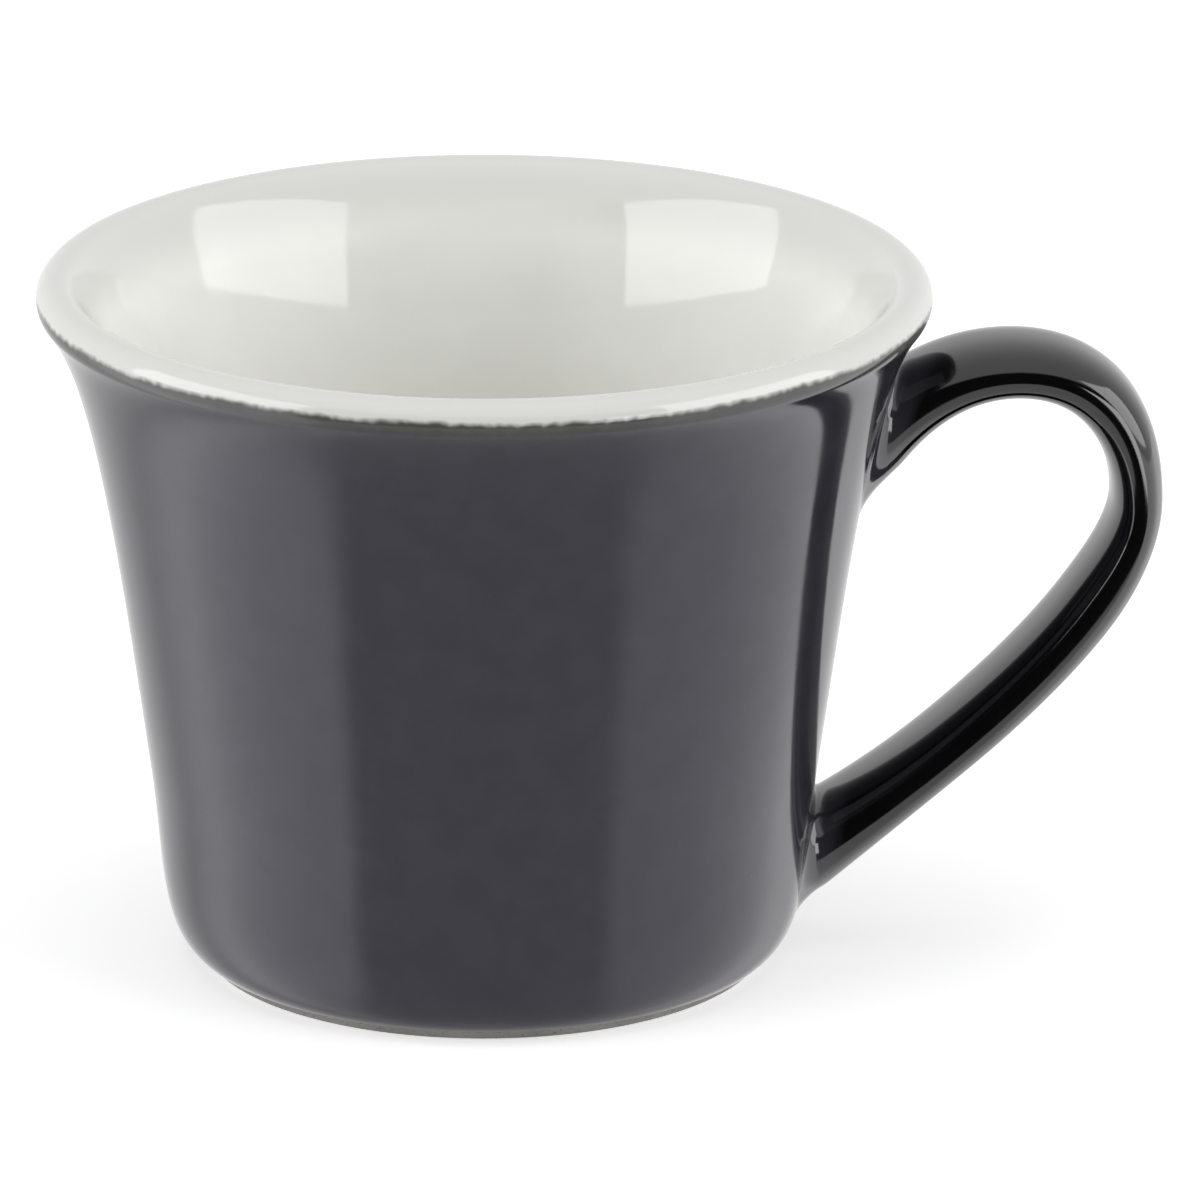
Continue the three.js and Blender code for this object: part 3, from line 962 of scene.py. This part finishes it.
class ESPRESSO_CUP_OT_stage(bpy.types.Operator):
    """Add the floor, the lamps, the white surroundings and the camera"""

    bl_idname = "espresso_cup.stage"
    bl_label = "Photo Stage"

    def execute(self, context):
        add_floor()
        add_surroundings(context.scene)
        add_lamps()
        add_cards()
        add_camera(context.scene)
        context.scene.view_settings.view_transform = "Standard"
        return {"FINISHED"}


def add_floor():
    """Pale floor that renders white and keeps the cup's shadow."""
    mesh = bpy.data.meshes.new("floor")
    ends = (-FLOOR_HALF, FLOOR_HALF)
    mesh.from_pydata([(x, y, FLOOR_HEIGHT) for x in ends for y in ends], [], [(0, 2, 3, 1)])
    floor = bpy.data.objects.new("floor", mesh)
    bpy.context.collection.objects.link(floor)
    floor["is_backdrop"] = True
    floor.visible_glossy = False
    material = bpy.data.materials.new("floor_paper")
    material.use_nodes = True
    tree = material.node_tree
    tree.nodes.clear()
    output = tree.nodes.new("ShaderNodeOutputMaterial")
    paper = tree.nodes.new("ShaderNodeBsdfDiffuse")
    paper.inputs["Color"].default_value = FLOOR_COLOUR
    lift = tree.nodes.new("ShaderNodeEmission")
    lift.inputs["Strength"].default_value = FLOOR_LIFT
    both = tree.nodes.new("ShaderNodeAddShader")
    seen = tree.nodes.new("ShaderNodeMixShader")
    rays = tree.nodes.new("ShaderNodeLightPath")
    tree.links.new(paper.outputs[0], both.inputs[0])
    tree.links.new(lift.outputs[0], both.inputs[1])
    tree.links.new(rays.outputs["Is Camera Ray"], seen.inputs["Fac"])
    tree.links.new(paper.outputs[0], seen.inputs[1])
    tree.links.new(both.outputs[0], seen.inputs[2])
    tree.links.new(seen.outputs[0], output.inputs["Surface"])
    mesh.materials.append(material)


def add_surroundings(scene):
    """White surroundings to the eye and in the gloss, at a plain level as light."""
    world = bpy.data.worlds.new("surroundings")
    scene.world = world
    world.use_nodes = True
    tree = world.node_tree
    tree.nodes.clear()
    output = tree.nodes.new("ShaderNodeOutputWorld")
    light = tree.nodes.new("ShaderNodeBackground")
    light.inputs["Strength"].default_value = SURROUND_LIGHT
    white = tree.nodes.new("ShaderNodeBackground")
    white.inputs["Strength"].default_value = 1.0
    for node in (light, white):
        node.inputs["Color"].default_value = (1, 1, 1, 1)
    rays = tree.nodes.new("ShaderNodeLightPath")
    shown = rays.outputs["Is Camera Ray"]
    for kind in ("Is Glossy Ray", "Is Transmission Ray"):
        larger = tree.nodes.new("ShaderNodeMath")
        larger.operation = "MAXIMUM"
        tree.links.new(shown, larger.inputs[0])
        tree.links.new(rays.outputs[kind], larger.inputs[1])
        shown = larger.outputs[0]
    mix = tree.nodes.new("ShaderNodeMixShader")
    tree.links.new(shown, mix.inputs["Fac"])
    tree.links.new(light.outputs[0], mix.inputs[1])
    tree.links.new(white.outputs[0], mix.inputs[2])
    tree.links.new(mix.outputs[0], output.inputs["Surface"])


def round_cup(turn, distance, height):
    """Place at a turn to the right of the camera, seen from the cup's axis."""
    angle = CAMERA_TURN + turn
    return Vector((AXIS_X + math.sin(angle) * distance, -math.cos(angle) * distance, height))


def add_softbox(name, place, size, power):
    """Rectangular lamp that faces the cup."""
    lamp = bpy.data.lights.new(name, "AREA")
    lamp.shape = "RECTANGLE"
    lamp.size, lamp.size_y = size
    lamp.energy = power
    softbox = bpy.data.objects.new(name, lamp)
    bpy.context.collection.objects.link(softbox)
    softbox.location = place
    softbox.rotation_mode = "QUATERNION"
    softbox.rotation_quaternion = (LOOK_AT - place).to_track_quat("-Z", "Y")
    softbox.visible_camera = False
    return softbox


def add_lamps():
    """Softboxes on both sides, and one above that stays out of the gloss."""
    for name, turn in (("left_softbox", -SIDE_TURN), ("right_softbox", SIDE_TURN)):
        add_softbox(name, round_cup(turn, SIDE_DISTANCE, SIDE_HEIGHT), SIDE_SIZE, SIDE_POWER)
    above = add_softbox("top_softbox", Vector((AXIS_X, 0, TOP_HEIGHT)), TOP_SIZE, TOP_POWER)
    above.visible_glossy = False


def add_card(name, edges, rises, glow, distance=CARD_DISTANCE):
    """Curved card round the cup that shows only in the gloss.

    Its two edges, as turns, are a function of the rise, and its glow is one of turn and rise.
    """
    points = []
    glows = []
    for column in range(CARD_STEPS + 1):
        for row in range(CARD_STEPS + 1):
            rise = rises[0] + (rises[1] - rises[0]) * row / CARD_STEPS
            first, last = edges(rise)
            turn = first + (last - first) * column / CARD_STEPS
            points.append(round_cup(turn, distance, LOOK_AT.z + distance * math.tan(rise)))
            glows.append(glow(turn, rise))
    faces = []
    for column in range(CARD_STEPS):
        for row in range(CARD_STEPS):
            here = column * (CARD_STEPS + 1) + row
            there = here + CARD_STEPS + 1
            faces.append((here, there, there + 1, here + 1))
    mesh = bpy.data.meshes.new(name)
    mesh.from_pydata(points, [], faces)
    mesh.attributes.new("glow", "FLOAT", "POINT").data.foreach_set("value", glows)
    material = bpy.data.materials.new(name)
    material.use_nodes = True
    tree = material.node_tree
    tree.nodes.clear()
    strength = tree.nodes.new("ShaderNodeAttribute")
    strength.attribute_name = "glow"
    light = tree.nodes.new("ShaderNodeEmission")
    output = tree.nodes.new("ShaderNodeOutputMaterial")
    tree.links.new(strength.outputs["Fac"], light.inputs["Strength"])
    tree.links.new(light.outputs[0], output.inputs["Surface"])
    mesh.materials.append(material)
    card = bpy.data.objects.new(name, mesh)
    bpy.context.collection.objects.link(card)
    for kind in ("camera", "diffuse", "transmission", "volume_scatter", "shadow"):
        setattr(card, f"visible_{kind}", False)
    card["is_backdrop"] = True


def eased(value, first, last):
    """Share of the way from first to last, slow at both ends."""
    share = min(max((value - first) / (last - first), 0), 1)
    return share * share * (3 - 2 * share)


def add_pale_card(name, side, end, strength):
    """Card low on one side that fades into the white surroundings, below and towards the back."""
    low, high = PALE_RISES

    def below(rise):
        return max((SWING_RISE - rise) / SWING_SPAN, 0)

    def near(rise):
        return min(PALE_TURN + SWING * below(rise) ** SWING_POWER, end)

    def softness(rise):
        return PALE_NEAR_FADE + SWING_FADE * below(rise)

    def glow(turn, rise):
        from_near = abs(turn) - near(rise)
        shown = (
            eased(rise, low, low + PALE_LOW_FADE)
            * eased(abs(turn), end, end - PALE_END_FADE)
            * eased(from_near, -softness(rise) / 2, softness(rise) / 2)
        )
        return 1 + (strength - 1) * shown

    def edges(rise):
        return side * (near(rise) - softness(rise)), side * end

    add_card(name, edges, (low, high), glow)


def add_cards():
    """Dark card on the camera's side, a bright strip at its right, and pale cards low on both sides."""
    def dark(turn, rise):
        top = DARK_TOP - DARK_TILT * turn
        return DARK_GLOW + (1 - DARK_GLOW) * eased(rise, top, top + DARK_FADE)

    add_card("dark_card", lambda rise: (-DARK_TURN, DARK_TURN), DARK_RISES, dark)
    add_card(
        "strip_card", lambda rise: STRIP_TURNS, STRIP_RISES,
        lambda turn, rise: STRIP_GLOW, CARD_DISTANCE - STRIP_NEARER,
    )
    add_pale_card("left_card", -1, LEFT_END, LEFT_GLOW)
    add_pale_card("right_card", 1, RIGHT_END, RIGHT_GLOW)


def add_camera(scene):
    """Camera where the photo was taken."""
    lens = bpy.data.cameras.new("camera")
    lens.lens = CAMERA_LENS
    lens.sensor_width = SENSOR_WIDTH
    lens.clip_start = CAMERA_NEAR
    camera = bpy.data.objects.new("camera", lens)
    bpy.context.collection.objects.link(camera)
    back = Vector((
        math.sin(CAMERA_TURN) * math.cos(CAMERA_RISE),
        -math.cos(CAMERA_TURN) * math.cos(CAMERA_RISE),
        math.sin(CAMERA_RISE),
    ))
    aim = Vector((
        AXIS_X + math.cos(CAMERA_TURN) * CAMERA_AIM_SIDE,
        math.sin(CAMERA_TURN) * CAMERA_AIM_SIDE,
        CAMERA_AIM_HEIGHT,
    ))
    camera.location = aim + back * CAMERA_DISTANCE
    camera.rotation_mode = "QUATERNION"
    roll = Quaternion((0, 0, 1), CAMERA_ROLL)
    camera.rotation_quaternion = (-back).to_track_quat("-Z", "Y") @ roll
    scene.camera = camera


PIECES = (
    ESPRESSO_CUP_OT_clay_body,
    ESPRESSO_CUP_OT_liner_coat,
    ESPRESSO_CUP_OT_outer_coat,
    ESPRESSO_CUP_OT_base_coat,
    ESPRESSO_CUP_OT_ear_coat,
    ESPRESSO_CUP_OT_stage,
)


class ESPRESSO_CUP_PT_sidebar(bpy.types.Panel):
    """Sizes, colours and pieces of the cup"""

    bl_label = "Espresso Cup"
    bl_space_type = "VIEW_3D"
    bl_region_type = "UI"
    bl_category = "Espresso Cup"

    def draw(self, context):
        scene = context.scene
        for group in (scene.espresso_cup_sizes, scene.espresso_cup_ear, scene.espresso_cup_colours):
            box = self.layout.box()
            for name in group.__annotations__:
                box.prop(group, name)
        for operator in PIECES:
            self.layout.operator(operator.bl_idname)


GROUPS = {
    "espresso_cup_sizes": EspressoCupSizes,
    "espresso_cup_ear": EspressoCupEar,
    "espresso_cup_colours": EspressoCupColours,
}
CLASSES = (*GROUPS.values(), *PIECES, ESPRESSO_CUP_PT_sidebar)


def register():
    for one in CLASSES:
        bpy.utils.register_class(one)
    for name, group in GROUPS.items():
        setattr(bpy.types.Scene, name, bpy.props.PointerProperty(type=group))


def unregister():
    for name in GROUPS:
        delattr(bpy.types.Scene, name)
    for one in reversed(CLASSES):
        bpy.utils.unregister_class(one)


def main():
    register()
    bpy.ops.espresso_cup.clay_body()
    bpy.ops.espresso_cup.liner_coat()
    bpy.ops.espresso_cup.outer_coat()
    bpy.ops.espresso_cup.base_coat()
    bpy.ops.espresso_cup.ear_coat()
    bpy.ops.espresso_cup.stage()
    boxes = {"cad": CAD_BOX, "visual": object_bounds()}
    {name: [list(corner) for corner in box] for name, box in boxes.items()}


if __name__ == "__main__":
    main()
